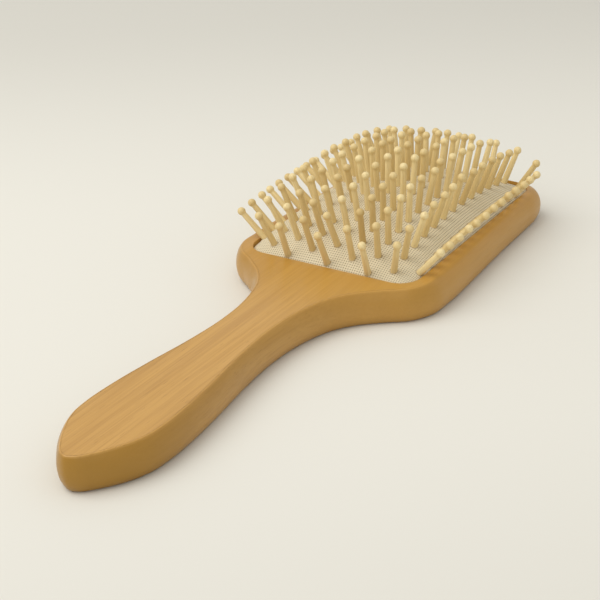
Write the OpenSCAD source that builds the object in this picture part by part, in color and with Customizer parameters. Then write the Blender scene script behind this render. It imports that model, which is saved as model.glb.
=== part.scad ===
// Paddle hairbrush: one wooden board, one air cushion and turned wooden pins.
// Frame: X runs from the handle's tip to the head, Z is up, the flat back lies on z = 0.

/* [Board] */

// Length from the handle's tip to the end of the head, mm
overall_length = 245; // [180:1:300]
// Greatest width of the wooden head, mm
head_width = 85.6; // [60:0.2:110]
// Greatest width of the handle, mm
handle_width = 34; // [24:0.5:44]
// Width of the waist between handle and head, mm
waist_width = 23.2; // [16:0.2:32]
// Thickness of the board, mm
board_thickness = 12.5; // [10:0.1:18]
// How far the top edge of the handle is set in from its side, mm
edge_inset = 2.4; // [1:0.1:4]
// How far the rounding of the head reaches in from its side, mm
head_round = 5; // [3:0.1:5.5]
// Rounding at the back of the board, mm
back_round = 2.6; // [1:0.1:4]

/* [Cushion] */

// Wood left beside the cushion at the widest place, mm
side_border = 8; // [5:0.1:12]
// Wood left behind the cushion at the end of the head, mm
end_border = 5; // [4:0.1:10]
// Corner radius of the cushion opening, mm
opening_corner = 8; // [5:0.5:14]
// Depth of the air chamber below the face of the board, mm
chamber_depth = 7.5; // [6:0.1:9]
// Height of the cushion's crown above its edge, mm
dome_rise = 14; // [6:0.1:18]
// Thickness of the rubber and textile sheet, mm
membrane = 1; // [0.8:0.1:1.6]
// Diameter of the air hole, mm
vent_diameter = 1.2; // [0.8:0.1:2.5]

/* [Pins] */

// Length of a pin from the cushion to the middle of its ball, mm
pin_length = 14.3; // [10:0.1:22]
// Length of a pin in the two edge columns and the first rows, mm
edge_pin_length = 13.4; // [9:0.1:20]
// Diameter of the ball at the tip, mm
ball_diameter = 3.1; // [2.6:0.1:4]
// Diameter of the shank below the ball, mm
shank_tip = 2.1; // [1.6:0.1:2.5]
// Diameter of the shank at the cushion, mm
shank_base = 2.5; // [1.8:0.1:2.7]
// Diameter of the foot under the cushion, mm
foot_diameter = 2.9; // [2.6:0.1:3.2]
// How much the pins fan out with the slope of the cushion, 1 is square to it
pin_fan = 0.87; // [0:0.01:1]
// How much further the edge columns fan out than the others
edge_fan = 1.1; // [0.6:0.05:1.2]

/* [Hidden] */

$fn = 40;

half_head = head_width / 2;
half_handle = handle_width / 2;
half_waist = waist_width / 2;
x_tip = -overall_length / 2;
x_end = overall_length / 2;

// Height of the widest part of the rounded side.
widest_z = 0.45 * board_thickness;

// Half of the outline: place along the length, then half width there.
function at(part) = x_tip + part * overall_length;
half_outline = [
  [at(0), 0],
  [at(0.0049), 0.2 * half_handle],
  [at(0.0204), 0.44 * half_handle],
  [at(0.0490), 0.75 * half_handle],
  [at(0.0816), 0.945 * half_handle],
  [at(0.1143), half_handle],
  [at(0.1551), 0.985 * half_handle],
  [at(0.2245), 0.882 * half_handle],
  [at(0.2939), (0.2 * half_handle + 0.8 * half_waist)],
  [at(0.3592), half_waist],
  [at(0.4082), 0.98 * half_waist + 0.022 * half_head],
  [at(0.4449), 0.91 * half_waist + 0.085 * half_head],
  [at(0.4735), 0.81 * half_waist + 0.172 * half_head],
  [at(0.4980), 0.66 * half_waist + 0.308 * half_head],
  [at(0.5265), 0.38 * half_waist + 0.57 * half_head],
  [at(0.5531), 0.875 * half_head],
  [at(0.5878), 0.983 * half_head],
  [at(0.6245), half_head],
  [at(0.7143), 0.986 * half_head],
  [at(0.8163), 0.958 * half_head],
  [at(0.9061), 0.944 * half_head],
  [at(0.9510), 0.932 * half_head],
  [at(0.9735), 0.9 * half_head],
  [at(0.9886), 0.82 * half_head],
  [at(0.9955), 0.67 * half_head],
  [at(0.9988), 0.36 * half_head],
  [at(1), 0]
];
side_count = len(half_outline);
loop = concat(
  half_outline,
  [for (i = [side_count - 2 : -1 : 1]) [half_outline[i][0], -half_outline[i][1]]]
);
loop_count = len(loop);
steps = 3;

// A smooth curve through the outline points.
function knot(i) = loop[(i + loop_count) % loop_count];
function slope_at(i) =
  let (a = knot(i) - knot(i - 1), b = knot(i + 1) - knot(i), p = norm(a), q = norm(b))
  (a / p * q + b / q * p) / (p + q);
function curve(i, t) =
  let (p = knot(i), q = knot(i + 1), s = norm(q - p), t2 = t * t, t3 = t2 * t)
  (2 * t3 - 3 * t2 + 1) * p + (t3 - 2 * t2 + t) * s * slope_at(i)
  + (3 * t2 - 2 * t3) * q + (t3 - t2) * s * slope_at(i + 1);
outline = [
  for (i = [0 : loop_count - 1])
    for (k = [0 : steps - 1])
      curve(i, k / steps)
];
outline_count = len(outline);
function spot(i) = outline[(i + outline_count) % outline_count];
function inward(i) =
  let (d = spot(i + 1) - spot(i - 1))
  [d[1], -d[0]] / norm(d);

// The handle keeps a crisp top edge, the head is rounded all the way to its face.
function ramp(t) = let (c = min(1, max(0, t))) c * c * (3 - 2 * c);
function headness(x) = ramp((x - at(0.555)) / (0.09 * overall_length));
function edge_angle(x) = 52 + 38 * headness(x);
function tip_share(x) = 0.6 + 0.4 * ramp((x - x_tip) / (0.05 * overall_length));
function edge_reach(x) = tip_share(x) * (edge_inset + (head_round - edge_inset) * headness(x));

// Each level is a turn from -90 at the back, through 0 at the widest place, to 1 at the face.
back_turns = [90, 62, 34];
face_parts = [0, 0.25, 0.5, 0.75, 1];
function back_point(i, turn) =
  let (p = spot(i) + inward(i) * back_round * (1 - cos(turn)))
  [p[0], p[1], widest_z * (1 - sin(turn))];
function face_point(i, part) =
  let (
    x = spot(i)[0],
    full = edge_angle(x),
    turn = part * full,
    d = edge_reach(x) * (1 - cos(turn)) / (1 - cos(full)),
    p = spot(i) + inward(i) * d
  )
  [p[0], p[1], widest_z + (board_thickness - widest_z) * sin(turn) / sin(full)];
board_rings = concat(
  [for (turn = back_turns) [for (i = [0 : outline_count - 1]) back_point(i, turn)]],
  [for (part = face_parts) [for (i = [0 : outline_count - 1]) face_point(i, part)]]
);

// The opening for the cushion is tied to the head.
opening_front = at(0.5624);
opening_back = x_end - end_border;
opening_x = (opening_front + opening_back) / 2;
opening_half = (opening_back - opening_front) / 2;
opening_side = half_head - side_border;
floor_z = board_thickness - chamber_depth;
groove_depth = 1.6;
groove_low = floor_z + 1.9;
groove_high = floor_z + 4.2;

module rounded(half_x, half_y, r) {
  translate([-half_x + r, -half_y, 0]) square([2 * half_x - 2 * r, 2 * half_y]);
  translate([-half_x, -half_y + r, 0]) square([2 * half_x, 2 * half_y - 2 * r]);
  for (sx = [-1, 1]) {
    for (sy = [-1, 1]) {
      translate([sx * (half_x - r), sy * (half_y - r), 0]) circle(r = r);
    }
  }
}

module opening(grow, low, high) {
  translate([opening_x, 0, low])
    linear_extrude(height = high - low)
      rounded(opening_half + grow, opening_side + grow, opening_corner + grow);
}

// Joins rings of equal length into one closed body.
function ring_faces(n, rings) = [
  for (r = [0 : rings - 2])
    for (i = [0 : n - 1])
      for (half = [0, 1])
        let (a = r * n + i, b = r * n + (i + 1) % n)
        half == 0 ? [a, a + n, b] : [b, a + n, b + n]
];

// A flat end, as a strip of faces from each point to its mirror point. Turned is 1 for the upper one.
function cap_faces(first, turned) = [
  for (i = [0 : outline_count / 2 - 1])
    for (half = [0, 1])
      let (
        a = first + i,
        b = first + i + 1,
        c = first + (outline_count - i) % outline_count,
        d = first + outline_count - i - 1,
        f = half == 0 ? [a, b, c] : [b, d, c]
      )
      if (f[0] != f[2] && f[0] != f[1])
        turned == 1 ? [f[2], f[1], f[0]] : f
];

module wood_body() {
  color([0.72, 0.47, 0.22])
    difference() {
      polyhedron(
        points = [for (ring = board_rings) for (p = ring) p],
        faces = concat(
          ring_faces(outline_count, len(board_rings)),
          cap_faces(0, 0),
          cap_faces((len(board_rings) - 1) * outline_count, 1)
        ),
        convexity = 6
      );
      opening(0, floor_z, board_thickness + 1);
      opening(groove_depth, groove_low, groove_high);
    }
}

// The cushion's upper surface, which starts a little below the face of the board.
fit_gap = 0.1;
dome_half_x = opening_half + 0.4;
dome_half_y = opening_side + 0.1;
dome_edge_z = board_thickness - 2.7;
function bulge(t, power) = pow(max(0.0001, 1 - t * t), power);
function dome(x, y) =
  dome_edge_z
  + dome_rise * bulge((x - opening_x) / dome_half_x, 0.634) * bulge(y / dome_half_y, 0.455);
function lean_x(x, y) = (dome(x + 0.1, y) - dome(x - 0.1, y)) / 0.2;
function lean_y(x, y) = (dome(x, y + 0.1) - dome(x, y - 0.1)) / 0.2;

// The outline of the cushion's edge, with points along the sides as well as in the corners.
edge_x = opening_half - fit_gap;
edge_y = opening_side - fit_gap;
edge_r = opening_corner - fit_gap;
function corner_arc(q, grow) = [
  for (a = [0 : 15 : 90])
    [
      (q == 0 || q == 3 ? 1 : -1) * (edge_x - edge_r) + (edge_r + grow) * cos(q * 90 + a),
      (q < 2 ? 1 : -1) * (edge_y - edge_r) + (edge_r + grow) * sin(q * 90 + a)
    ]
];
function run_on(p, q, n) = [for (k = [1 : n - 1]) p + (q - p) * k / n];
function edge_loop(grow) = [
  for (q = [0 : 3])
    let (here = corner_arc(q, grow), next = corner_arc((q + 1) % 4, grow))
    for (p = concat(here, run_on(here[6], next[0], q % 2 == 0 ? 10 : 7))) p
];
cushion_edge = edge_loop(0);
edge_count = len(cushion_edge);
function level(grow, z) = [for (p = edge_loop(grow)) [opening_x + p[0], p[1], z]];
function over(s) = [
  for (p = cushion_edge)
    [opening_x + s * p[0], s * p[1], dome(opening_x + s * p[0], s * p[1])]
];
function under(s) = [
  for (p = cushion_edge)
    let (
      x = opening_x + s * p[0],
      y = s * p[1],
      n = [-lean_x(x, y), -lean_y(x, y), 1]
    )
    [x, y, dome(x, y)] - n / norm(n) * membrane
];
dome_steps = 8;
lip_top = groove_high - 0.3;
lip_bottom = groove_low + 0.3;
cushion_rings = concat(
  [for (k = [1 : dome_steps]) over(sin(90 * k / dome_steps))],
  [
    level(0, lip_top),
    level(groove_depth - 0.2, lip_top),
    level(groove_depth - 0.2, lip_bottom),
    level(-membrane, lip_bottom)
  ],
  [for (k = [dome_steps : -1 : 1]) under(sin(90 * k / dome_steps))]
);
cushion_ring_count = len(cushion_rings);
cushion_point_count = cushion_ring_count * edge_count;

module cushion() {
  color([0.9, 0.88, 0.82])
    difference() {
      polyhedron(
        points = concat(
          [for (ring = cushion_rings) for (p = ring) p],
          [
            [opening_x, 0, dome(opening_x, 0)],
            [opening_x, 0, dome(opening_x, 0) - membrane]
          ]
        ),
        faces = concat(
          [for (f = ring_faces(edge_count, cushion_ring_count)) [f[0], f[2], f[1]]],
          [
            for (i = [0 : edge_count - 1])
              [i, cushion_point_count, (i + 1) % edge_count]
          ],
          [
            for (i = [0 : edge_count - 1])
              let (base = cushion_point_count - edge_count)
              [base + (i + 1) % edge_count, cushion_point_count + 1, base + i]
          ]
        ),
        convexity = 6
      );
      for (k = [0 : row_last]) {
        for (c = [-3 : 3]) {
          if ((c + k) % 2 == 0) on_cushion(row_x(k), column_y(c)) pin_hole();
        }
      }
      for (s = [-1, 1]) {
        for (i = [0 : edge_last]) {
          on_cushion(edge_pin_x(i), s * edge_pin_y(i)) pin_hole();
        }
      }
      on_cushion((row_x(6) + row_x(8)) / 2, 0)
        translate([0, 0, -membrane - 1])
          cylinder(d = vent_diameter, h = membrane + 2);
    }
}

// Pins stand in seven staggered columns, with one more column along each long edge.
row_last = 26;
edge_last = 13;
row_pitch = (2 * opening_half - 6.4) / row_last;
column_pitch = (opening_side - 2) / 3.905;
edge_pitch = (2 * opening_half - 19) / edge_last;
function row_x(k) = opening_front + 2.2 + row_pitch * k;
function column_y(c) = column_pitch * c;
function edge_pin_x(i) = opening_front + 10.6 + edge_pitch * i;
// The last pin of an edge column stands further in, at the rounded corner.
function edge_pin_y(i) = opening_side - 2 - (i == edge_last ? 1.5 : 0);

foot_height = 1;
foot_gap = 0.7;

// The pins fan out sideways nearly as far at both ends as in the middle of the cushion.
// The first and last rows stand straighter.
function in_edge(y) = abs(y) > opening_side - 5;
function in_end(x, y) =
  abs(y) < 2.5 * column_pitch && (x < row_x(1.5) || x > row_x(row_last - 1.5));
function fan_ahead(x, y) = in_end(x, y) && x < opening_x ? 0.6 : 1;
function fan_aside(x, y) =
  in_end(x, y) ? 0.35 : abs(y) > 2.5 * column_pitch ? edge_fan : 1;

module on_cushion(x, y) {
  fade = pow(bulge((x - opening_x) / dome_half_x, 0.634), 0.27);
  gx = -pin_fan * fan_ahead(x, y) * lean_x(x, y);
  gy = -pin_fan * fan_aside(x, y) * fade * lean_y(opening_x, y);
  translate([x, y, dome(x, y)])
    rotate([0, atan(norm([gx, gy])), atan2(gy, gx)])
      children();
}

module pin_hole() {
  translate([0, 0, -membrane - 1])
    cylinder(d = shank_base + 0.2, h = membrane + 2);
}

// One turned pin: foot, tapered shank and ball.
module pin(length = pin_length) {
  translate([0, 0, -membrane - foot_gap - foot_height])
    cylinder(d = foot_diameter, h = foot_height);
  translate([0, 0, -membrane - foot_gap])
    cylinder(d1 = shank_base, d2 = shank_tip, h = length + membrane + foot_gap);
  translate([0, 0, length]) sphere(d = ball_diameter);
}

module column(c, first, last) {
  color([0.93, 0.85, 0.66])
    for (k = [first : 2 : last]) {
      on_cushion(row_x(k), column_y(c)) pin();
    }
}

module edge_column(side, first, last) {
  color([0.93, 0.85, 0.66])
    for (i = [first : last]) {
      on_cushion(edge_pin_x(i), side * edge_pin_y(i)) pin(edge_pin_length);
    }
}

module end_rows(even_row, odd_row, length) {
  color([0.93, 0.85, 0.66]) {
    for (c = [-2, 0, 2]) {
      on_cushion(row_x(even_row), column_y(c)) pin(length);
    }
    for (c = [-3, -1, 1, 3]) {
      on_cushion(row_x(odd_row), column_y(c)) pin(length);
    }
  }
}

module middle_pins_front() {
  column(0, 2, 12);
}
module middle_pins_back() {
  column(0, 14, 24);
}
module left_pins_1_front() {
  column(1, 3, 13);
}
module left_pins_1_back() {
  column(1, 15, 23);
}
module left_pins_2_front() {
  column(2, 2, 12);
}
module left_pins_2_back() {
  column(2, 14, 24);
}
module left_pins_3_front() {
  column(3, 3, 13);
}
module left_pins_3_back() {
  column(3, 15, 23);
}
module right_pins_1_front() {
  column(-1, 3, 13);
}
module right_pins_1_back() {
  column(-1, 15, 23);
}
module right_pins_2_front() {
  column(-2, 2, 12);
}
module right_pins_2_back() {
  column(-2, 14, 24);
}
module right_pins_3_front() {
  column(-3, 3, 13);
}
module right_pins_3_back() {
  column(-3, 15, 23);
}
module left_edge_pins_front() {
  edge_column(1, 0, 6);
}
module left_edge_pins_back() {
  edge_column(1, 7, 13);
}
module right_edge_pins_front() {
  edge_column(-1, 0, 6);
}
module right_edge_pins_back() {
  edge_column(-1, 7, 13);
}
module nose_pins() {
  end_rows(0, 1, edge_pin_length);
}
module tail_pins() {
  end_rows(26, 25, pin_length);
}

wood_body();
cushion();
middle_pins_front();
middle_pins_back();
left_pins_1_front();
left_pins_1_back();
left_pins_2_front();
left_pins_2_back();
left_pins_3_front();
left_pins_3_back();
right_pins_1_front();
right_pins_1_back();
right_pins_2_front();
right_pins_2_back();
right_pins_3_front();
right_pins_3_back();
left_edge_pins_front();
left_edge_pins_back();
right_edge_pins_front();
right_edge_pins_back();
nose_pins();
tail_pins();
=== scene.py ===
"""Paddle hairbrush: the looks of the wooden board, the air cushion and the turned pins."""

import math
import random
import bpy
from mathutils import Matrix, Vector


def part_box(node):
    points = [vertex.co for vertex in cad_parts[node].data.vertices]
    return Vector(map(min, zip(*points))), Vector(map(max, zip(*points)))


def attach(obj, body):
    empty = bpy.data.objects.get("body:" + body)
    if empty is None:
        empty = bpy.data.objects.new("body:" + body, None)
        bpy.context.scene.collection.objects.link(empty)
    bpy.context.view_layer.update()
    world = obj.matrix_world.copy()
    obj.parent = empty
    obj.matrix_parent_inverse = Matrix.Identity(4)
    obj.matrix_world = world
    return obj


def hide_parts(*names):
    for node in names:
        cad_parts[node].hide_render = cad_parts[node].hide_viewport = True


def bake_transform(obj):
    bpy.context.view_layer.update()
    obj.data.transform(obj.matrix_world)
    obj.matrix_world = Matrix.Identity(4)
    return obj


bl_info = {
    "name": "Paddle Hairbrush",
    "version": (1, 0, 0),
    "blender": (4, 5, 0),
    "location": "3D View > Sidebar > Hairbrush",
    "description": "Builds a wooden paddle hairbrush with an air cushion and turned pins",
    "category": "Object",
}

import bpy
import numpy as np
from bpy.props import FloatProperty, FloatVectorProperty, IntProperty, PointerProperty
from bpy.types import Operator, Panel, PropertyGroup
from mathutils import Matrix, Vector

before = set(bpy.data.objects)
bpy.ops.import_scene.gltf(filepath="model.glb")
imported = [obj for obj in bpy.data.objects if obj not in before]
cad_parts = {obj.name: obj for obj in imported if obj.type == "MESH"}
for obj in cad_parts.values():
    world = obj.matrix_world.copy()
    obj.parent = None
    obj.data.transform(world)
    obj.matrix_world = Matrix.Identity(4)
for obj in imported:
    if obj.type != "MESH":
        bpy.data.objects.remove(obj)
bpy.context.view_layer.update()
MM = 0.001

BOARD_LOW, BOARD_HIGH = (np.array(c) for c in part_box("wood_body"))
LENGTH = float(BOARD_HIGH[0] - BOARD_LOW[0])
THICKNESS = float(BOARD_HIGH[2] - BOARD_LOW[2])
HALF_HEAD = 42.8 * MM

# The head's rounding starts at this part of the length and is full after the second part.
HEAD_START = 0.555
HEAD_GROWTH = 0.09

# The opening in the board, as the CAD part has it.
OPENING_START = 0.5624
BACK_BORDER = 5 * MM
SIDE_BORDER = 8 * MM
CHAMBER_DEPTH = 7.5 * MM
OPENING_FRONT = (OPENING_START - 0.5) * LENGTH
OPENING_BACK = 0.5 * LENGTH - BACK_BORDER
OPENING_X = (OPENING_FRONT + OPENING_BACK) / 2
OPENING_HALF = (OPENING_BACK - OPENING_FRONT) / 2
OPENING_SIDE = HALF_HEAD - SIDE_BORDER
OPENING_CORNER = 8 * MM

# The cushion's dome: how deep its edge sits, its overhang past the opening, its two powers.
DOME_EDGE_Z = THICKNESS - 2.7 * MM
OVERHANG_X = 0.4 * MM
OVERHANG_Y = 0.1 * MM
DOME_POWER_X = 0.634
DOME_POWER_Y = 0.455
SHEET_GAP = 0.1 * MM

# The pins: rows and columns of the middle, then the two edge columns.
LAST_ROW = 26
LAST_EDGE = 13
EDGE_HALF = 7
FRONT_ROWS = 13
SIDE_COLUMNS = 3
FIRST_ROW_X = OPENING_FRONT + 2.2 * MM
ROW_PITCH = (2 * OPENING_HALF - 6.4 * MM) / LAST_ROW
EDGE_Y = OPENING_SIDE - 2 * MM
COLUMN_PITCH = EDGE_Y / 3.905
FIRST_EDGE_X = OPENING_FRONT + 10.6 * MM
EDGE_PITCH = (2 * OPENING_HALF - 19 * MM) / LAST_EDGE
LAST_EDGE_IN = 1.5 * MM

# How far pins lean, as a share of the dome's slope, and what changes it for some of them.
FAN = 0.87
NOSE_AHEAD = 0.6
END_ASIDE = 0.35
OUTER_ASIDE = 1.1
FAN_FADE = 0.27

# Half of the board's outline: part of the length, share of handle, of waist and of head.
OUTLINE = (
    (0.0, 0.0, 0.0, 0.0),
    (0.0049, 0.2, 0.0, 0.0),
    (0.0204, 0.44, 0.0, 0.0),
    (0.0490, 0.75, 0.0, 0.0),
    (0.0816, 0.945, 0.0, 0.0),
    (0.1143, 1.0, 0.0, 0.0),
    (0.1551, 0.985, 0.0, 0.0),
    (0.2245, 0.882, 0.0, 0.0),
    (0.2939, 0.2, 0.8, 0.0),
    (0.3592, 0.0, 1.0, 0.0),
    (0.4082, 0.0, 0.98, 0.022),
    (0.4449, 0.0, 0.91, 0.085),
    (0.4735, 0.0, 0.81, 0.172),
    (0.4980, 0.0, 0.66, 0.308),
    (0.5265, 0.0, 0.38, 0.57),
    (0.5531, 0.0, 0.0, 0.875),
    (0.5878, 0.0, 0.0, 0.983),
    (0.6245, 0.0, 0.0, 1.0),
    (0.7143, 0.0, 0.0, 0.986),
    (0.8163, 0.0, 0.0, 0.958),
    (0.9061, 0.0, 0.0, 0.944),
    (0.9510, 0.0, 0.0, 0.932),
    (0.9735, 0.0, 0.0, 0.9),
    (0.9886, 0.0, 0.0, 0.82),
    (0.9955, 0.0, 0.0, 0.67),
    (0.9988, 0.0, 0.0, 0.36),
    (1.0, 0.0, 0.0, 0.0),
)


class BrushBoard(PropertyGroup):
    """Sizes and colours of the wooden board"""

    handle_width: FloatProperty(
        name="Handle width", description="Greatest width of the handle",
        default=34 * MM, unit="LENGTH")
    waist_width: FloatProperty(
        name="Waist width", description="Width between handle and head",
        default=23.2 * MM, unit="LENGTH")
    edge_inset: FloatProperty(
        name="Edge inset", description="How far the handle's top edge is set in",
        default=2.4 * MM, unit="LENGTH")
    head_round: FloatProperty(
        name="Head rounding", description="How far the head's rounding reaches in",
        default=5 * MM, unit="LENGTH")
    back_round: FloatProperty(
        name="Back rounding", description="Rounding round the flat back",
        default=2.6 * MM, unit="LENGTH")
    wood: FloatVectorProperty(
        name="Wood", description="Colour of the lacquered wood", subtype="COLOR",
        size=3, min=0, max=1, default=(0.59, 0.33, 0.080))
    grain: FloatVectorProperty(
        name="Grain", description="Colour of the darker grain lines", subtype="COLOR",
        size=3, min=0, max=1, default=(0.37, 0.178, 0.030))


class BrushCushion(PropertyGroup):
    """Sizes and colours of the air cushion"""

    rise: FloatProperty(
        name="Rise", description="Height of the crown above the cushion's edge",
        default=14 * MM, unit="LENGTH")
    sheet: FloatProperty(
        name="Sheet", description="Thickness of the sheet",
        default=1 * MM, unit="LENGTH")
    weave_pitch: FloatProperty(
        name="Weave pitch", description="Distance from one thread to the next",
        default=0.95 * MM, unit="LENGTH")
    thread: FloatVectorProperty(
        name="Thread", description="Colour of the woven facing", subtype="COLOR",
        size=3, min=0, max=1, default=(0.74, 0.66, 0.47))
    gap: FloatVectorProperty(
        name="Gap", description="Colour between the threads", subtype="COLOR",
        size=3, min=0, max=1, default=(0.24, 0.18, 0.085))


class BrushPins(PropertyGroup):
    """Sizes and colours of the turned pins"""

    length: FloatProperty(
        name="Length", description="From the cushion to the middle of the ball",
        default=14.3 * MM, unit="LENGTH")
    edge_length: FloatProperty(
        name="Edge length", description="The same in the edge columns and the first rows",
        default=13.4 * MM, unit="LENGTH")
    ball: FloatProperty(
        name="Ball", description="Diameter of the ball",
        default=3.1 * MM, unit="LENGTH")
    tip: FloatProperty(
        name="Neck", description="Shank diameter below the ball",
        default=2.1 * MM, unit="LENGTH")
    base: FloatProperty(
        name="Base", description="Shank diameter at the cushion",
        default=2.5 * MM, unit="LENGTH")
    sides: IntProperty(
        name="Sides", description="Faces round each pin", default=14, min=6, max=32)
    wander: FloatProperty(
        name="Wander", description="How far single pins lean out of line",
        default=0.03, unit="ROTATION")
    wood: FloatVectorProperty(
        name="Wood", description="Colour of the pins", subtype="COLOR",
        size=3, min=0, max=1, default=(0.82, 0.66, 0.33))


class BrushStage(PropertyGroup):
    """Floor, light and camera"""

    floor: FloatVectorProperty(
        name="Floor", description="Colour of the floor", subtype="COLOR",
        size=3, min=0, max=1, default=(0.77, 0.76, 0.70))
    lens: FloatProperty(
        name="Lens", description="Focal length in millimetres on a 36 mm sensor",
        default=78.734)
    ambient: FloatProperty(
        name="Ambient", description="Strength of the light from all round", default=0.67)


# ---------------------------------------------------------------- small helpers


def deselect():
    """Leaves nothing selected, in object mode."""
    if bpy.context.mode != "OBJECT":
        bpy.ops.object.mode_set(mode="OBJECT")
    bpy.ops.object.select_all(action="DESELECT")


def work_on(obj):
    """Makes one object the selected and active one."""
    deselect()
    obj.select_set(True)
    bpy.context.view_layer.objects.active = obj


def edit(obj):
    """Opens an object in edit mode with everything selected."""
    work_on(obj)
    bpy.ops.object.mode_set(mode="EDIT")
    bpy.ops.mesh.select_all(action="SELECT")


def done():
    """Back to object mode."""
    bpy.ops.object.mode_set(mode="OBJECT")


def choose(obj, kind, test):
    """Selects the edges by their two ends, or the faces by middle and normal. Object mode."""
    mesh = obj.data
    for part in (mesh.vertices, mesh.edges, mesh.polygons):
        part.foreach_set("select", [False] * len(part))
    bpy.context.tool_settings.mesh_select_mode = (False, kind == "EDGE", kind == "FACE")
    if kind == "EDGE":
        for edge in mesh.edges:
            a, b = (mesh.vertices[i].co for i in edge.vertices)
            edge.select = bool(test(a, b))
    else:
        for face in mesh.polygons:
            face.select = bool(test(face.center, face.normal))


def apply_modifier(obj, kind, **settings):
    """Adds a modifier and applies it at once."""
    work_on(obj)
    mod = obj.modifiers.new(kind.title(), kind)
    for name, value in settings.items():
        setattr(mod, name, value)
    bpy.ops.object.modifier_apply(modifier=mod.name)


def named(name):
    """The active object under its final name, at the origin."""
    obj = bpy.context.active_object
    obj.name = name
    obj.data.name = name
    return obj


def settle(obj):
    """Puts the object's place into its mesh."""
    work_on(obj)
    bpy.ops.object.transform_apply(location=True, rotation=True, scale=True)


def smooth(obj, degrees=32):
    """Smooth shading with crisp edges past an angle."""
    work_on(obj)
    bpy.ops.object.shade_smooth_by_angle(angle=math.radians(degrees))


def set_points(obj, points):
    """Moves every vertex of a mesh to its place."""
    obj.data.vertices.foreach_set("co", np.asarray(points, dtype=np.float32).ravel())
    obj.data.update()


def get_points(obj):
    """Every vertex of a mesh as rows of x, y, z."""
    co = np.empty(len(obj.data.vertices) * 3, dtype=np.float32)
    obj.data.vertices.foreach_get("co", co)
    return co.reshape(-1, 3).astype(float)


def ramp(t):
    """0 to 1 with a soft start and end."""
    t = np.clip(t, 0.0, 1.0)
    return t * t * (3 - 2 * t)


# ---------------------------------------------------------------- shader helpers


class Sock:
    """A socket that adds Math nodes when it is used in an expression."""

    def __init__(self, tree, socket):
        self.tree = tree
        self.socket = socket

    def _math(self, kind, a, b):
        return self.tree.node("ShaderNodeMath", {"operation": kind}, {0: a, 1: b}).out(0)

    def __add__(self, other):
        return self._math("ADD", self, other)

    __radd__ = __add__

    def __mul__(self, other):
        return self._math("MULTIPLY", self, other)

    __rmul__ = __mul__

    def __sub__(self, other):
        return self._math("SUBTRACT", self, other)

    def __rsub__(self, other):
        return self._math("SUBTRACT", other, self)

    def most(self, other):
        """The greater of the two."""
        return self._math("MAXIMUM", self, other)


class Knot:
    """One shader node."""

    def __init__(self, tree, node):
        self.tree = tree
        self.raw = node

    def out(self, key):
        return Sock(self.tree, self.raw.outputs[key])


class Shade:
    """A material and its node tree."""

    def __init__(self, name, **constants):
        self.material = bpy.data.materials.new(name)
        self.material.use_nodes = True
        self.tree = self.material.node_tree
        self.surface = self.tree.nodes["Principled BSDF"]
        for key, value in constants.items():
            self.surface.inputs[key.replace("_", " ")].default_value = value

    def node(self, kind, settings=None, inputs=None):
        """Any node: its settings first, then the values or links of its sockets."""
        raw = self.tree.nodes.new(kind)
        for key, value in (settings or {}).items():
            setattr(raw, key, value)
        for key, value in (inputs or {}).items():
            self.link(value, raw.inputs[key])
        return Knot(self, raw)

    def link(self, value, socket):
        """Links a socket, or sets the socket's own value."""
        if isinstance(value, Sock):
            self.tree.links.new(value.socket, socket)
        else:
            socket.default_value = value

    def feed(self, **inputs):
        """Links or sets sockets of the surface."""
        for key, value in inputs.items():
            self.link(value, self.surface.inputs[key.replace("_", " ")])

    def place(self, scale=(1, 1, 1)):
        """Object coordinates, stretched."""
        at = self.node("ShaderNodeTexCoord").out("Object")
        return self.node("ShaderNodeMapping", None, {"Vector": at, "Scale": scale}).out(0)

    def split(self, vector):
        """The three parts of a vector."""
        parts = self.node("ShaderNodeSeparateXYZ", None, {0: vector})
        return parts.out(0), parts.out(1), parts.out(2)

    def noise(self, vector, detail=3.0, rough=0.55, distortion=0.0):
        """Soft noise; the vector's own stretch sets its size."""
        return self.node("ShaderNodeTexNoise", {"noise_dimensions": "3D"}, {
            "Vector": vector, "Scale": 1.0, "Detail": detail,
            "Roughness": rough, "Distortion": distortion}).out("Fac")

    def range(self, value, foot_shade_mask, high, to_low=0.0, to_high=1.0):
        """A value stretched from one range to another and held there."""
        soft = {"clamp": True, "interpolation_type": "SMOOTHSTEP"}
        return self.node("ShaderNodeMapRange", soft, {
            "Value": value, "From Min": foot_shade_mask, "From Max": high,
            "To Min": to_low, "To Max": to_high}).out(0)

    def mix(self, factor, a, b):
        """From the first colour to the second."""
        node = self.node("ShaderNodeMix", {"data_type": "RGBA", "blend_type": "MIX"})
        self.link(factor, node.raw.inputs[0])
        for value, socket in ((a, node.raw.inputs[6]), (b, node.raw.inputs[7])):
            if not isinstance(value, Sock):
                value = (*value[:3], 1.0)
            self.link(value, socket)
        return Sock(self, node.raw.outputs[2])

    def bump(self, height, distance, strength):
        """A normal raised by a height."""
        return self.node("ShaderNodeBump", None, {
            "Height": height, "Distance": distance, "Strength": strength}).out(0)


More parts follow.
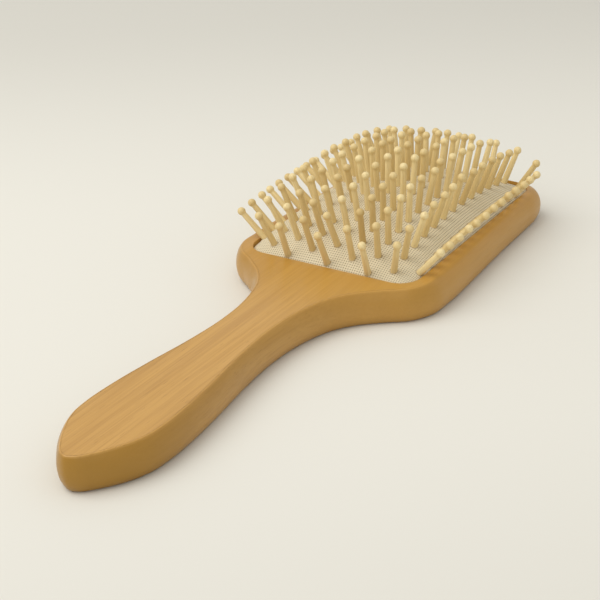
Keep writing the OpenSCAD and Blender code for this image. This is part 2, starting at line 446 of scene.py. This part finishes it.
def lacquered_wood(props):
    """Honey wood under a satin lacquer, with straight grain along the brush."""
    fine_line, pore, cream = (0.26, 0.11, 0.015), (0.20, 0.08, 0.012), (0.66, 0.40, 0.13)
    head_shade_colour, side_shade_colour, foot_shade = (0.50, 0.255, 0.022), (0.34, 0.168, 0.004), (0.22, 0.115, 0.012)
    s = Shade("lacquered_wood", Roughness=0.42, Coat_Roughness=0.25, Coat_Weight=0.22)
    bend = s.noise(s.place((7, 16, 16)), 2.0)
    figure = s.noise(s.place((5, 60, 60)), 3.0, 0.55, 0.6)
    lines = s.noise(s.place((16, 900, 900)), 3.0, 0.6, 0.3)
    fine = s.noise(s.place((60, 2600, 2600)), 2.0, 0.6)
    pores = s.range(s.noise(s.place((150, 2800, 2800)), 1.0), 0.66, 0.80)
    tone = s.range(figure, 0.36, 0.66)
    streak = s.range(lines, 0.40, 0.66)
    base = s.mix(tone * 0.36, props.wood, props.grain)
    base = s.mix(streak * 0.30, base, props.grain)
    base = s.mix(s.range(fine, 0.45, 0.7) * 0.16, base, fine_line)
    base = s.mix(pores * 0.45, base, pore)
    light = s.range(bend, 0.45, 0.70) * 0.28
    base = s.mix(light, base, cream)
    # Painted shade: the lacquer is more golden towards the head, where it reflects less room light,
    # and just under the edge, and darker low down.
    along, _, up = s.split(s.place())
    head_shade_mask = s.range(along, -0.035, 0.02)
    base = s.mix(head_shade_mask * 0.55, base, head_shade_colour)
    # Painted shade on the steep side wall just under the edge, broken up a little by noise.
    side_shade_mask = s.node("ShaderNodeAttribute", {"attribute_name": "painted_side_shade"}).out("Fac")
    cloud = s.range(s.noise(s.place((22, 40, 60)), 2.0), 0.35, 0.65, 0.75, 1.0)
    base = s.mix(side_shade_mask * cloud * 0.92, base, side_shade_colour)
    # Painted shade low down, where the board meets the floor.
    foot_shade_mask = s.range(up, 0.0045, 0.0004)
    base = s.mix(foot_shade_mask * 0.25, base, foot_shade)
    rough = s.range(s.noise(s.place((40, 200, 200)), 3.0), 0.3, 0.7, 0.34, 0.46)
    height = lines * 0.5 + pores * -0.6
    s.feed(Base_Color=base, Roughness=rough, Normal=s.bump(height, 0.06 * MM, 0.35))
    return s.material


def woven_facing(props):
    """Cream open weave over rubber. The threads follow the sheet's own map, in metres."""
    worn = tuple(c * f for c, f in zip(props.thread, (0.88, 0.85, 0.78)))
    pin_foot_shade = (0.30, 0.20, 0.09)
    waver = 0.16 * MM
    s = Shade("woven_facing", Roughness=0.85, Sheen_Weight=0.15, Sheen_Roughness=0.5)
    at = s.node("ShaderNodeUVMap", {"uv_map": "threads"}).out(0)
    u, v, _ = s.split(at)
    wobble = s.noise(s.place((400, 400, 400)), 2.0) - 0.5

    def thread(c):
        turn = (c + wobble * waver) * (2 * math.pi / props.weave_pitch)
        return s.node("ShaderNodeMath", {"operation": "COSINE"}, {0: turn}).out(0) * 0.5 + 0.5

    a, b = thread(u), thread(v)
    hole = s.range(a * b, 0.34, 0.74)
    soft = s.noise(s.place((60, 60, 60)), 3.0)
    colour = s.mix(s.range(soft, 0.35, 0.7) * 0.35, props.thread, worn)
    colour = s.mix(hole * 0.95, colour, props.gap)
    near = s.node("ShaderNodeAttribute", {"attribute_name": "near_pin"}).out("Fac")
    # Painted shade round the foot of each pin, together with the darker hole edge there.
    colour = s.mix(s.range(near, 0.35, 1.0) * 0.55, colour, pin_foot_shade)
    s.feed(Base_Color=colour, Normal=s.bump(a.most(b) * -1.0, 0.12 * MM, 0.6))
    return s.material


def pin_wood(props):
    """Bare pale turned wood. The grain follows each pin, and each has its own tone."""
    s = Shade("pin_wood", Roughness=0.5, Coat_Weight=0.06, Coat_Roughness=0.3)
    local = s.node("ShaderNodeAttribute", {"attribute_name": "pin_place"}).out("Vector")
    tone = s.node("ShaderNodeAttribute", {"attribute_name": "pin_tone"}).out("Fac")
    stretched = s.node("ShaderNodeMapping", None, {
        "Vector": local, "Scale": (1600, 1600, 90)}).out(0)
    lines = s.range(s.noise(stretched, 3.0, 0.6), 0.40, 0.68)
    dark = tuple(c * f for c, f in zip(props.wood, (0.74, 0.66, 0.52)))
    pale = tuple(min(1.0, c * f) for c, f in zip(props.wood, (1.08, 1.12, 1.22)))
    colour = s.mix(tone, props.wood, dark)
    colour = s.mix(s.range(tone, 0.0, 0.3, 0.7, 0.0), colour, pale)
    colour = s.mix(lines * 0.45, colour, dark)
    s.feed(Base_Color=colour, Normal=s.bump(lines, 0.05 * MM, 0.3))
    return s.material


def pale_floor(props):
    """Plain matt paper, with painted shade: a little darker far away and close by."""
    shade = (0.30, 0.29, 0.26)
    s = Shade("pale_floor", Roughness=0.9, Specular_IOR_Level=0.1)
    along, across, _ = s.split(s.place())
    away = along * 0.82 + across * 0.57
    far, close = s.range(away, 0.08, 0.42), s.range(away, -0.05, -0.22)
    tone = s.mix(far * 0.24 + close * 0.13, props.floor, shade)
    s.feed(Base_Color=tone)
    return s.material


# ---------------------------------------------------------------- the board's shape


def board_outline(props, steps):
    """The board's outline as a smooth closed curve, starting at the handle's tip."""
    handle, waist = props.handle_width / 2, props.waist_width / 2
    side = [((part - 0.5) * LENGTH, h * handle + w * waist + b * HALF_HEAD)
            for part, h, w, b in OUTLINE]
    loop = np.array(side + [(x, -y) for x, y in side[-2:0:-1]])
    # Each stretch is a cubic whose slope at a point is the mean of the two stretches there.
    step = np.roll(loop, -1, 0) - loop
    size = np.linalg.norm(step, axis=1)[:, None]
    last_step, last_size = np.roll(step, 1, 0), np.roll(size, 1, 0)
    slope = (last_step / last_size * size + step / size * last_size) / (last_size + size)
    next_point, next_slope = np.roll(loop, -1, 0), np.roll(slope, -1, 0)
    rows = []
    for k in range(steps):
        t = k / steps
        rows.append(
            (2 * t**3 - 3 * t**2 + 1) * loop + (t**3 - 2 * t**2 + t) * size * slope
            + (3 * t**2 - 2 * t**3) * next_point + (t**3 - t**2) * size * next_slope)
    return np.stack(rows, 1).reshape(-1, 2)


def board_rings(props, outline):
    """The board's side as rings of points, from the back up to the face."""
    handle_arc, head_arc = 52, 90
    tip_share, tip_length = 0.6, 0.05 * LENGTH
    along = np.roll(outline, -1, 0) - np.roll(outline, 1, 0)
    inward = np.stack([along[:, 1], -along[:, 0]], 1)
    inward /= np.linalg.norm(inward, axis=1)[:, None]
    widest = 0.45 * THICKNESS
    from_tip = outline[:, 0] + 0.5 * LENGTH
    head = ramp((from_tip - HEAD_START * LENGTH) / (HEAD_GROWTH * LENGTH))
    full = np.radians(handle_arc + (head_arc - handle_arc) * head)
    tip = tip_share + (1 - tip_share) * ramp(from_tip / tip_length)
    reach = tip * (props.edge_inset + (props.head_round - props.edge_inset) * head)
    rise = THICKNESS - widest
    wide = reach / (1 - np.cos(full))
    tall = rise / np.sin(full)
    rings = []

    def ring(inset, height):
        xy = outline + inward * inset[:, None]
        rings.append(np.column_stack([xy, height]))

    ones = np.ones(len(outline))
    for turn in np.radians([90, 78, 66, 54, 42, 30, 18]):
        ring(ones * props.back_round * (1 - math.cos(turn)),
             ones * widest * (1 - math.sin(turn)))
    # The main arc stops short of the face, more so on the head, and a fillet closes the edge.
    arc_share, less_on_head = 0.955, 0.10
    stop = full * (arc_share - less_on_head * head)
    for part in np.linspace(0, 1, 11):
        turn = stop * part
        ring(wide * (1 - np.cos(turn)), widest + tall * np.sin(turn))
    normal = np.arctan2(np.sin(stop) / tall, np.cos(stop) / wide)
    end_in, end_z = wide * (1 - np.cos(stop)), widest + tall * np.sin(stop)
    radius = (THICKNESS - end_z) / (1 - np.sin(normal))
    for part in (0.25, 0.5, 0.75, 1.0):
        turn = normal + (math.pi / 2 - normal) * part
        ring(end_in + radius * (np.cos(normal) - np.cos(turn)),
             end_z + radius * (np.sin(turn) - np.sin(normal)))
    return rings


def ringed_solid(name, rings):
    """A closed solid extruded level by level from a flat disc, then drawn to its rings."""
    count = len(rings[0])
    deselect()
    bpy.ops.mesh.primitive_circle_add(
        vertices=count, radius=1.0, fill_type="NGON", enter_editmode=True)
    bpy.ops.mesh.select_all(action="SELECT")
    for _ in rings[1:]:
        bpy.ops.mesh.extrude_region_move(TRANSFORM_OT_translate={"value": (0, 0, 1.0)})
    done()
    obj = named(name)
    raw = get_points(obj)
    share = np.arctan2(raw[:, 1], raw[:, 0]) / (2 * math.pi / count)
    angle = np.round(share).astype(int) % count
    level = np.round(raw[:, 2]).astype(int)
    set_points(obj, np.array(rings)[level, angle])
    edit(obj)
    bpy.ops.mesh.normals_make_consistent(inside=False)
    done()
    return obj


def chamber_block(foot_shade_mask, high):
    """A block with round upright corners, as wide and long as the opening."""
    deselect()
    middle = (OPENING_X, 0, foot_shade_mask)
    bpy.ops.mesh.primitive_plane_add(size=2, location=middle, enter_editmode=True)
    bpy.ops.transform.resize(value=(OPENING_HALF, OPENING_SIDE, 1), center_override=middle)
    bpy.ops.mesh.bevel(offset=OPENING_CORNER, segments=14, affect="VERTICES")
    bpy.ops.mesh.select_all(action="SELECT")
    bpy.ops.mesh.extrude_region_move(TRANSFORM_OT_translate={"value": (0, 0, high - foot_shade_mask)})
    bpy.ops.mesh.select_all(action="SELECT")
    bpy.ops.mesh.normals_make_consistent(inside=False)
    done()
    obj = named("chamber_cutter")
    settle(obj)
    return obj


class HAIRBRUSH_OT_board(Operator):
    """Carves the wooden board with its handle and the opening for the cushion"""

    bl_idname = "hairbrush.board"
    bl_label = "Wooden board"

    def execute(self, context):
        props = context.scene.brush_board
        board = ringed_solid("board", board_rings(props, board_outline(props, 8)))
        for height, sign in ((THICKNESS, 1), (0.0, -1)):
            choose(board, "FACE", lambda c, n: abs(c.z - height) < 0.01 * MM and n.z * sign > 0.9)
            bpy.ops.object.mode_set(mode="EDIT")
            bpy.ops.mesh.inset(thickness=0.3 * MM)
            done()
        cutter = chamber_block(THICKNESS - CHAMBER_DEPTH, THICKNESS + 2 * MM)
        apply_modifier(board, "BOOLEAN", operation="DIFFERENCE", object=cutter, solver="EXACT")
        bpy.data.objects.remove(cutter)
        near = 0.1 * MM

        def on_rim(p):
            return (abs(p.z - THICKNESS) < 0.02 * MM and abs(p.x - OPENING_X) < OPENING_HALF + near
                    and abs(p.y) < OPENING_SIDE + near)

        choose(board, "EDGE", lambda a, b: on_rim(a) and on_rim(b))
        bpy.ops.object.mode_set(mode="EDIT")
        bpy.ops.mesh.bevel(offset=0.5 * MM, segments=3, affect="EDGES", clamp_overlap=True)
        done()
        smooth(board, 33)
        self.mark_painted_side_shade(board)
        board.data.materials.clear()
        board.data.materials.append(lacquered_wood(props))
        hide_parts("wood_body")
        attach(board, "board")
        return {"FINISHED"}

    def mark_painted_side_shade(self, board):
        """How much painted side shade each place gets: nothing on the face, most just under its edge
        at the tip.
        """
        x, _, z = get_points(board).T
        down, from_tip = THICKNESS - z, x + 0.5 * LENGTH
        side_shade_mask = ramp(down / (0.45 * MM))
        side_shade_mask *= 1 - 0.7 * ramp(down / (0.8 * THICKNESS)) * ramp((from_tip - 7.5 * MM) / (50 * MM))
        side_shade_mask *= 1 - 0.35 * ramp((from_tip - 12.5 * MM) / (40 * MM))
        side_shade_mask *= 1 - 0.8 * ramp((from_tip - HEAD_START * LENGTH) / (HEAD_GROWTH * LENGTH))
        mark = board.data.attributes.new("painted_side_shade", "FLOAT", "POINT")
        mark.data.foreach_set("value", side_shade_mask.astype(np.float32))


# ---------------------------------------------------------------- the cushion's shape


def dome(x, y, rise):
    """Height of the cushion's face, and its two slopes."""
    half_x, half_y = OPENING_HALF + OVERHANG_X, OPENING_SIDE + OVERHANG_Y
    limit = 0.9999
    u = np.clip((x - OPENING_X) / half_x, -limit, limit)
    v = np.clip(y / half_y, -limit, limit)
    p, q = 1 - u * u, 1 - v * v
    long, wide = p**DOME_POWER_X, q**DOME_POWER_Y
    z = DOME_EDGE_Z + rise * long * wide
    zx = rise * DOME_POWER_X * p ** (DOME_POWER_X - 1) * (-2 * u / half_x) * wide
    zy = rise * DOME_POWER_Y * q ** (DOME_POWER_Y - 1) * (-2 * v / half_y) * long
    return z, zx, zy


def pin_axis(x, y, rise):
    """Which way a pin leans: its slopes along and across the brush."""
    outer = abs(y) > (SIDE_COLUMNS - 0.5) * COLUMN_PITCH
    front = x < FIRST_ROW_X + 1.5 * ROW_PITCH
    back = x > FIRST_ROW_X + (LAST_ROW - 1.5) * ROW_PITCH
    end = not outer and (front or back)
    ahead = NOSE_AHEAD if end and front else 1.0
    aside = END_ASIDE if end else OUTER_ASIDE if outer else 1.0
    u = (x - OPENING_X) / (OPENING_HALF + OVERHANG_X)
    fade = ((1 - u * u) ** DOME_POWER_X) ** FAN_FADE
    _, along, _ = dome(x, y, rise)
    _, _, across = dome(OPENING_X, y, rise)
    return -FAN * ahead * float(along), -FAN * aside * fade * float(across)


def pin_spots():
    """Where each group of pins stands: name of the CAD node to a list of x, y."""
    places = {}
    for column in range(-SIDE_COLUMNS, SIDE_COLUMNS + 1):
        side = "left" if column > 0 else "right"
        name = f"{side}_pins_{abs(column)}" if column else "middle_pins"
        rows = [k for k in range(2, LAST_ROW - 1) if (column + k) % 2 == 0]
        places[f"{name}_front"] = [(k, column) for k in rows if k <= FRONT_ROWS]
        places[f"{name}_back"] = [(k, column) for k in rows if k > FRONT_ROWS]
    for name, even, odd in (("nose_pins", 0, 1), ("tail_pins", LAST_ROW, LAST_ROW - 1)):
        places[name] = [(even, c) for c in (-2, 0, 2)] + [(odd, c) for c in (-3, -1, 1, 3)]
    spots = {name: [(FIRST_ROW_X + ROW_PITCH * k, COLUMN_PITCH * c) for k, c in found]
             for name, found in places.items()}
    for side, sign in (("left", 1), ("right", -1)):
        for half, first in (("front", 0), ("back", EDGE_HALF)):
            spots[f"{side}_edge_pins_{half}"] = [
                (FIRST_EDGE_X + EDGE_PITCH * i,
                 sign * (EDGE_Y - (LAST_EDGE_IN if i == LAST_EDGE else 0)))
                for i in range(first, first + EDGE_HALF)]
    return spots


def inside_opening(x, y):
    """Draws points of a rectangle in so that its corners become round."""
    half_x, half_y = OPENING_HALF - SHEET_GAP, OPENING_SIDE - SHEET_GAP
    corner = OPENING_CORNER - SHEET_GAP
    dx, dy = x - OPENING_X, y
    square = np.maximum(np.abs(dx) / half_x, np.abs(dy) / half_y)
    foot_shade_mask, high = np.zeros_like(dx), np.ones_like(dx)
    # Halving finds how far along its ray from the middle each point meets the round outline.
    ray = np.maximum(square, 1e-9)
    ux, uy = np.abs(dx) / ray, np.abs(dy) / ray
    for _ in range(30):
        mid = (foot_shade_mask + high) / 2
        px = np.maximum(ux * mid - (half_x - corner), 0)
        py = np.maximum(uy * mid - (half_y - corner), 0)
        out = np.hypot(px, py) > corner
        foot_shade_mask, high = np.where(out, foot_shade_mask, mid), np.where(out, mid, high)
    return OPENING_X + dx * foot_shade_mask, dy * foot_shade_mask


class HAIRBRUSH_OT_cushion(Operator):
    """Lays the domed cushion sheet in the opening"""

    bl_idname = "hairbrush.cushion"
    bl_label = "Air cushion"

    def execute(self, context):
        props = context.scene.brush_cushion
        deselect()
        bpy.ops.mesh.primitive_grid_add(x_subdivisions=216, y_subdivisions=150, size=2)
        sheet = named("cushion_sheet")
        raw = get_points(sheet)
        # Finer towards the edge, where the sheet turns down.
        crowd = math.pi / 2 * 0.86
        gx = np.sin(raw[:, 0] * crowd) / math.sin(crowd)
        gy = np.sin(raw[:, 1] * crowd) / math.sin(crowd)
        x, y = inside_opening(
            OPENING_X + gx * (OPENING_HALF - SHEET_GAP), gy * (OPENING_SIDE - SHEET_GAP))
        z, zx, zy = dome(x, y, props.rise)
        normal = np.stack([-zx, -zy, np.ones_like(zx)], 1)
        normal /= np.linalg.norm(normal, axis=1)[:, None]
        points = np.column_stack([x, y, z])
        collar = self.pin_collars(points, props)
        points += normal * (collar * 0.22 * MM)[:, None]
        set_points(sheet, points)
        self.map_threads(sheet, x, y, props)
        mark = sheet.data.attributes.new("near_pin", "FLOAT", "POINT")
        mark.data.foreach_set("value", collar.astype(np.float32))
        edit(sheet)
        bpy.ops.mesh.normals_make_consistent(inside=False)
        bpy.ops.mesh.select_all(action="DESELECT")
        bpy.ops.mesh.select_mode(type="EDGE")
        bpy.ops.mesh.select_non_manifold(
            extend=False, use_wire=False, use_boundary=True, use_multi_face=False,
            use_non_contiguous=False, use_verts=False)
        bpy.ops.mesh.extrude_region_move(TRANSFORM_OT_translate={"value": (0, 0, -1.6 * MM)})
        done()
        apply_modifier(
            sheet, "SOLIDIFY", thickness=props.sheet, offset=-1.0, use_even_offset=False)
        smooth(sheet, 60)
        sheet.data.materials.append(woven_facing(props))
        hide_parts("cushion")
        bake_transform(sheet)
        return {"FINISHED"}

    def pin_collars(self, points, props):
        """How near each point is to a pin: 1 against its shank, 0 away from all of them."""
        reach, shank, soft = 6 * MM, 1.2 * MM, 0.55 * MM
        far = 1.0
        near = np.full(len(points), far)
        for found in pin_spots().values():
            for px, py in found:
                pz, _, _ = dome(px, py, props.rise)
                axis = np.array([*pin_axis(px, py, props.rise), 1.0])
                axis /= np.linalg.norm(axis)
                off = points - np.array([px, py, pz])
                aside = np.linalg.norm(off - np.outer(off @ axis, axis), axis=1)
                aside = np.where(np.linalg.norm(off, axis=1) < reach, aside, far)
                near = np.minimum(near, aside)
        return np.exp(-(np.maximum(near - shank, 0) / soft) ** 2)

    def map_threads(self, sheet, x, y, props):
        """A map in metres along the sheet's surface, so the weave keeps its pitch on the sides."""

        def surface_length(run, slope):
            steps = np.hypot(1, 0.5 * (slope[1:] + slope[:-1])) * np.diff(run)
            return np.concatenate([[0], np.cumsum(steps)])

        grid = np.linspace(-1, 1, 1201)
        run_x = OPENING_X + grid * OPENING_HALF
        _, slope_x, _ = dome(run_x, np.zeros_like(run_x), props.rise)
        run_y = grid * OPENING_SIDE
        _, _, slope_y = dome(np.full_like(run_y, OPENING_X), run_y, props.rise)
        u = np.interp(x, run_x, surface_length(run_x, slope_x))
        v = np.interp(y, run_y, surface_length(run_y, slope_y))
        uv = sheet.data.uv_layers.get("threads") or sheet.data.uv_layers.new(name="threads")
        corner = np.empty(len(sheet.data.loops), dtype=np.int32)
        sheet.data.loops.foreach_get("vertex_index", corner)
        uv.data.foreach_set("uv", np.stack([u[corner], v[corner]], 1).astype(np.float32).ravel())
        for other in [m.name for m in sheet.data.uv_layers if m.name != "threads"]:
            sheet.data.uv_layers.remove(sheet.data.uv_layers[other])


# ---------------------------------------------------------------- the pins


def turned_pin(props, length):
    """One pin on the Z axis, its cushion level at zero."""
    base, tip, ball = props.base / 2, props.tip / 2, props.ball / 2
    foot = base * 1.16
    profile = [(foot, -1.9 * MM), (foot, -1.35 * MM), (base, -1.3 * MM), (base, 0.0)]
    profile += [(base + (tip - base) * t, length * t) for t in (0.3, 0.6, 0.84)]
    profile.append((tip * 0.97, length - ball * 0.93))
    for turn in (-44, -22, 0, 24, 48, 72):
        profile.append((ball * math.cos(math.radians(turn)),
                        length + ball * math.sin(math.radians(turn))))
    deselect()
    radius, height = profile[0]
    bpy.ops.mesh.primitive_circle_add(
        vertices=props.sides, radius=radius, location=(0, 0, height), fill_type="NGON",
        enter_editmode=True)
    bpy.ops.mesh.select_all(action="SELECT")
    for wider, higher in profile[1:]:
        bpy.ops.mesh.extrude_region_move(
            TRANSFORM_OT_translate={"value": (0, 0, higher - height)})
        bpy.ops.transform.resize(value=(wider / radius, wider / radius, 1),
                                 center_override=(0, 0, higher))
        radius, height = wider, higher
    bpy.ops.mesh.extrude_region_move(
        TRANSFORM_OT_translate={"value": (0, 0, length + ball * 0.995 - height)})
    bpy.ops.mesh.merge(type="CENTER")
    bpy.ops.mesh.select_all(action="SELECT")
    bpy.ops.mesh.normals_make_consistent(inside=False)
    done()
    pin = named("pin_pattern")
    settle(pin)
    smooth(pin, 45)
    return pin


class HAIRBRUSH_OT_pins(Operator):
    """Turns one pin and sets a copy of it at every place on the cushion"""

    bl_idname = "hairbrush.pins"
    bl_label = "Turned pins"

    def execute(self, context):
        props = context.scene.brush_pins
        rise = context.scene.brush_cushion.rise
        material = pin_wood(props)
        patterns = [turned_pin(props, props.length), turned_pin(props, props.edge_length)]
        for pattern in patterns:
            pattern.data.materials.append(material)
        chance = random.Random(11)
        for node, found in pin_spots().items():
            copies = []
            for x, y in found:
                z, _, _ = dome(x, y, rise)
                along, across = pin_axis(x, y, rise)
                stand = Vector((along + chance.gauss(0, props.wander),
                                across + chance.gauss(0, props.wander), 1.0))
                turn = Vector((0, 0, 1)).rotation_difference(stand.normalized()).to_matrix().to_4x4()
                spin = Matrix.Rotation(chance.uniform(0, 2 * math.pi), 4, "Z")
                pattern = patterns[1] if "edge" in node or node == "nose_pins" else patterns[0]
                copy = pattern.copy()
                copy.data = pattern.data.copy()
                context.scene.collection.objects.link(copy)
                local = get_points(copy)
                shift = np.array([chance.uniform(-1, 1) for _ in range(3)])
                held = copy.data.attributes.new("pin_place", "FLOAT_VECTOR", "POINT")
                held.data.foreach_set("vector", (local + shift).astype(np.float32).ravel())
                tone = copy.data.attributes.new("pin_tone", "FLOAT", "POINT")
                value = min(1.0, max(0.0, chance.gauss(0.30, 0.22)))
                tone.data.foreach_set("value", [value] * len(local))
                copy.data.transform(Matrix.Translation((x, y, float(z))) @ turn @ spin)
                copies.append(copy)
            deselect()
            for copy in copies:
                copy.select_set(True)
            context.view_layer.objects.active = copies[0]
            bpy.ops.object.join()
            group = named(f"{node}_turned")
            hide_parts(node)
            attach(group, node)
        for pattern in patterns:
            bpy.data.objects.remove(pattern)
        return {"FINISHED"}


# ---------------------------------------------------------------- the stage


class HAIRBRUSH_OT_stage(Operator):
    """Sets the floor, the soft light and the camera"""

    bl_idname = "hairbrush.stage"
    bl_label = "Stage"

    def execute(self, context):
        props = context.scene.brush_stage
        scene = context.scene
        deselect()
        bpy.ops.mesh.primitive_grid_add(x_subdivisions=12, y_subdivisions=12, size=8)
        floor = named("floor")
        settle(floor)
        floor.data.materials.append(pale_floor(props))
        world = bpy.data.worlds.new("soft_room")
        world.use_nodes = True
        back = world.node_tree.nodes["Background"]
        back.inputs[0].default_value = (1.0, 0.98, 0.945, 1)
        back.inputs[1].default_value = props.ambient
        scene.world = world
        self.lamp("key_light", (-0.50, 0.55, 1.20), 1.2, 11.6, (1.0, 0.975, 0.935))
        self.lamp("fill_light", (-0.9, -0.7, 0.7), 1.0, 1.0, (1.0, 0.98, 0.95))
        data = bpy.data.cameras.new("camera")
        data.lens = props.lens
        data.sensor_width = 36
        data.clip_start = 0.01
        camera = bpy.data.objects.new("camera", data)
        camera.location = (-0.336444, -0.232161, 0.214606)
        camera.rotation_euler = (1.098745, 0.052024, -0.992024)
        scene.collection.objects.link(camera)
        scene.camera = camera
        scene.view_settings.view_transform = "Standard"
        return {"FINISHED"}

    def lamp(self, name, place, size, power, colour):
        """A square soft lamp that faces the brush."""
        data = bpy.data.lights.new(name, "AREA")
        data.size = size
        data.energy = power
        data.color = colour
        light = bpy.data.objects.new(name, data)
        light.location = place
        aim = Vector((0.03, 0, 0)) - Vector(place)
        light.rotation_euler = aim.to_track_quat("-Z", "Y").to_euler()
        bpy.context.scene.collection.objects.link(light)


class HAIRBRUSH_PT_panel(Panel):
    """Lists the steps that build the brush"""

    bl_idname = "HAIRBRUSH_PT_panel"
    bl_label = "Hairbrush"
    bl_space_type = "VIEW_3D"
    bl_region_type = "UI"
    bl_category = "Hairbrush"

    def draw(self, context):
        column = self.layout.column()
        for step in STEPS:
            column.operator(step.bl_idname)
        for group in ("brush_board", "brush_cushion", "brush_pins", "brush_stage"):
            held = getattr(context.scene, group)
            for name in held.__annotations__:
                column.prop(held, name)


STEPS = (HAIRBRUSH_OT_board, HAIRBRUSH_OT_cushion, HAIRBRUSH_OT_pins, HAIRBRUSH_OT_stage)
GROUPS = {
    "brush_board": BrushBoard,
    "brush_cushion": BrushCushion,
    "brush_pins": BrushPins,
    "brush_stage": BrushStage,
}


def register():
    for group in GROUPS.values():
        bpy.utils.register_class(group)
    for name, group in GROUPS.items():
        setattr(bpy.types.Scene, name, PointerProperty(type=group))
    for step in STEPS:
        bpy.utils.register_class(step)
    bpy.utils.register_class(HAIRBRUSH_PT_panel)


def unregister():
    bpy.utils.unregister_class(HAIRBRUSH_PT_panel)
    for step in reversed(STEPS):
        bpy.utils.unregister_class(step)
    for name, group in GROUPS.items():
        delattr(bpy.types.Scene, name)
        bpy.utils.unregister_class(group)


def main():
    register()
    bpy.ops.hairbrush.board()
    bpy.ops.hairbrush.cushion()
    bpy.ops.hairbrush.pins()
    bpy.ops.hairbrush.stage()


if __name__ == "__main__":
    main()
